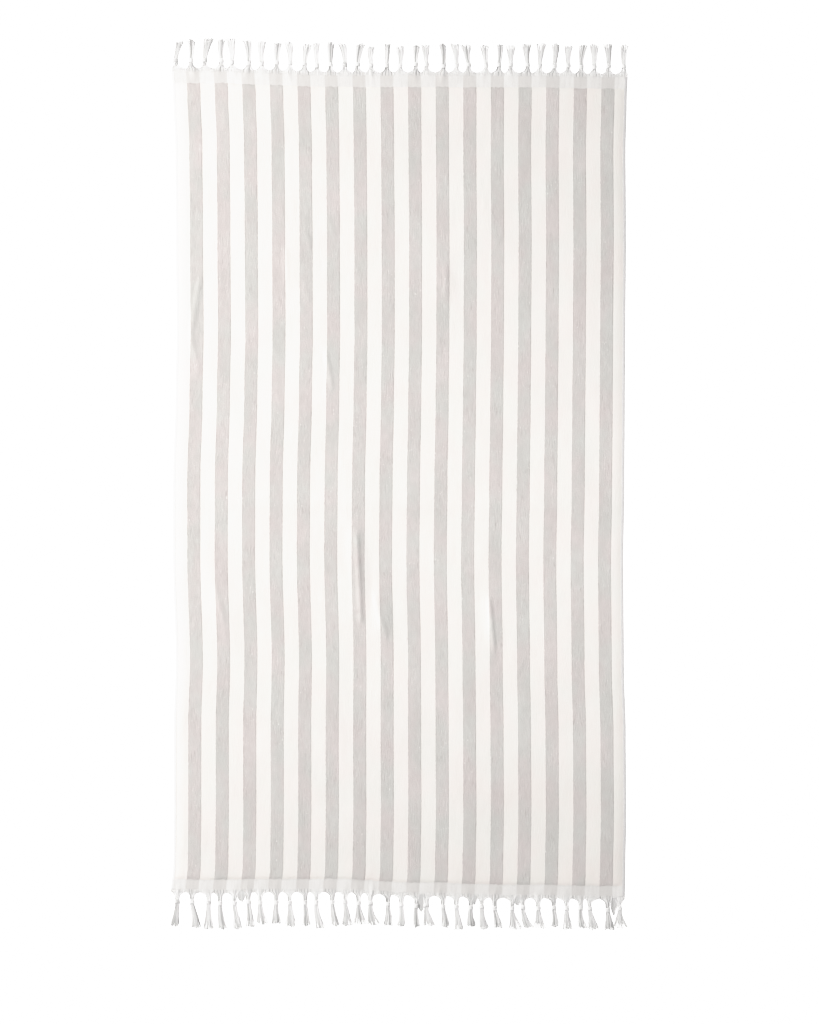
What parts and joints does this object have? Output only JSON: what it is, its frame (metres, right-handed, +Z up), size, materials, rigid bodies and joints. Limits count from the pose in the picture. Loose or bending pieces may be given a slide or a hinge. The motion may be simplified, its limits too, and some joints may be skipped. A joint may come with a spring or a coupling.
{
  "type": "beach towel",
  "caption": "Beach towel laid flat: pile cloth with lengthwise stripes, flat-woven headings, hemmed sides and a knotted tassel fringe along both ends.",
  "frame": {"origin": "middle of the towel's outline, fringes included, on the surface it lies on", "axes": "+X across the stripes, +Y along the stripes towards the head end, +Z up from the surface"},
  "size_m": [1.015, 1.9778, 0.0064],
  "materials": {
    "towel_cloth": "short cotton pile in lengthwise off-white and pale sand stripes, with flat-woven headings and hems",
    "fringe_yarn": "soft twisted cotton yarn, off-white"
  },
  "bodies": {
    "root": {"towel_cloth": "towel_cloth", "fringe_head_end": "fringe_yarn", "fringe_foot_end": "fringe_yarn"}
  },
  "joints": []
}
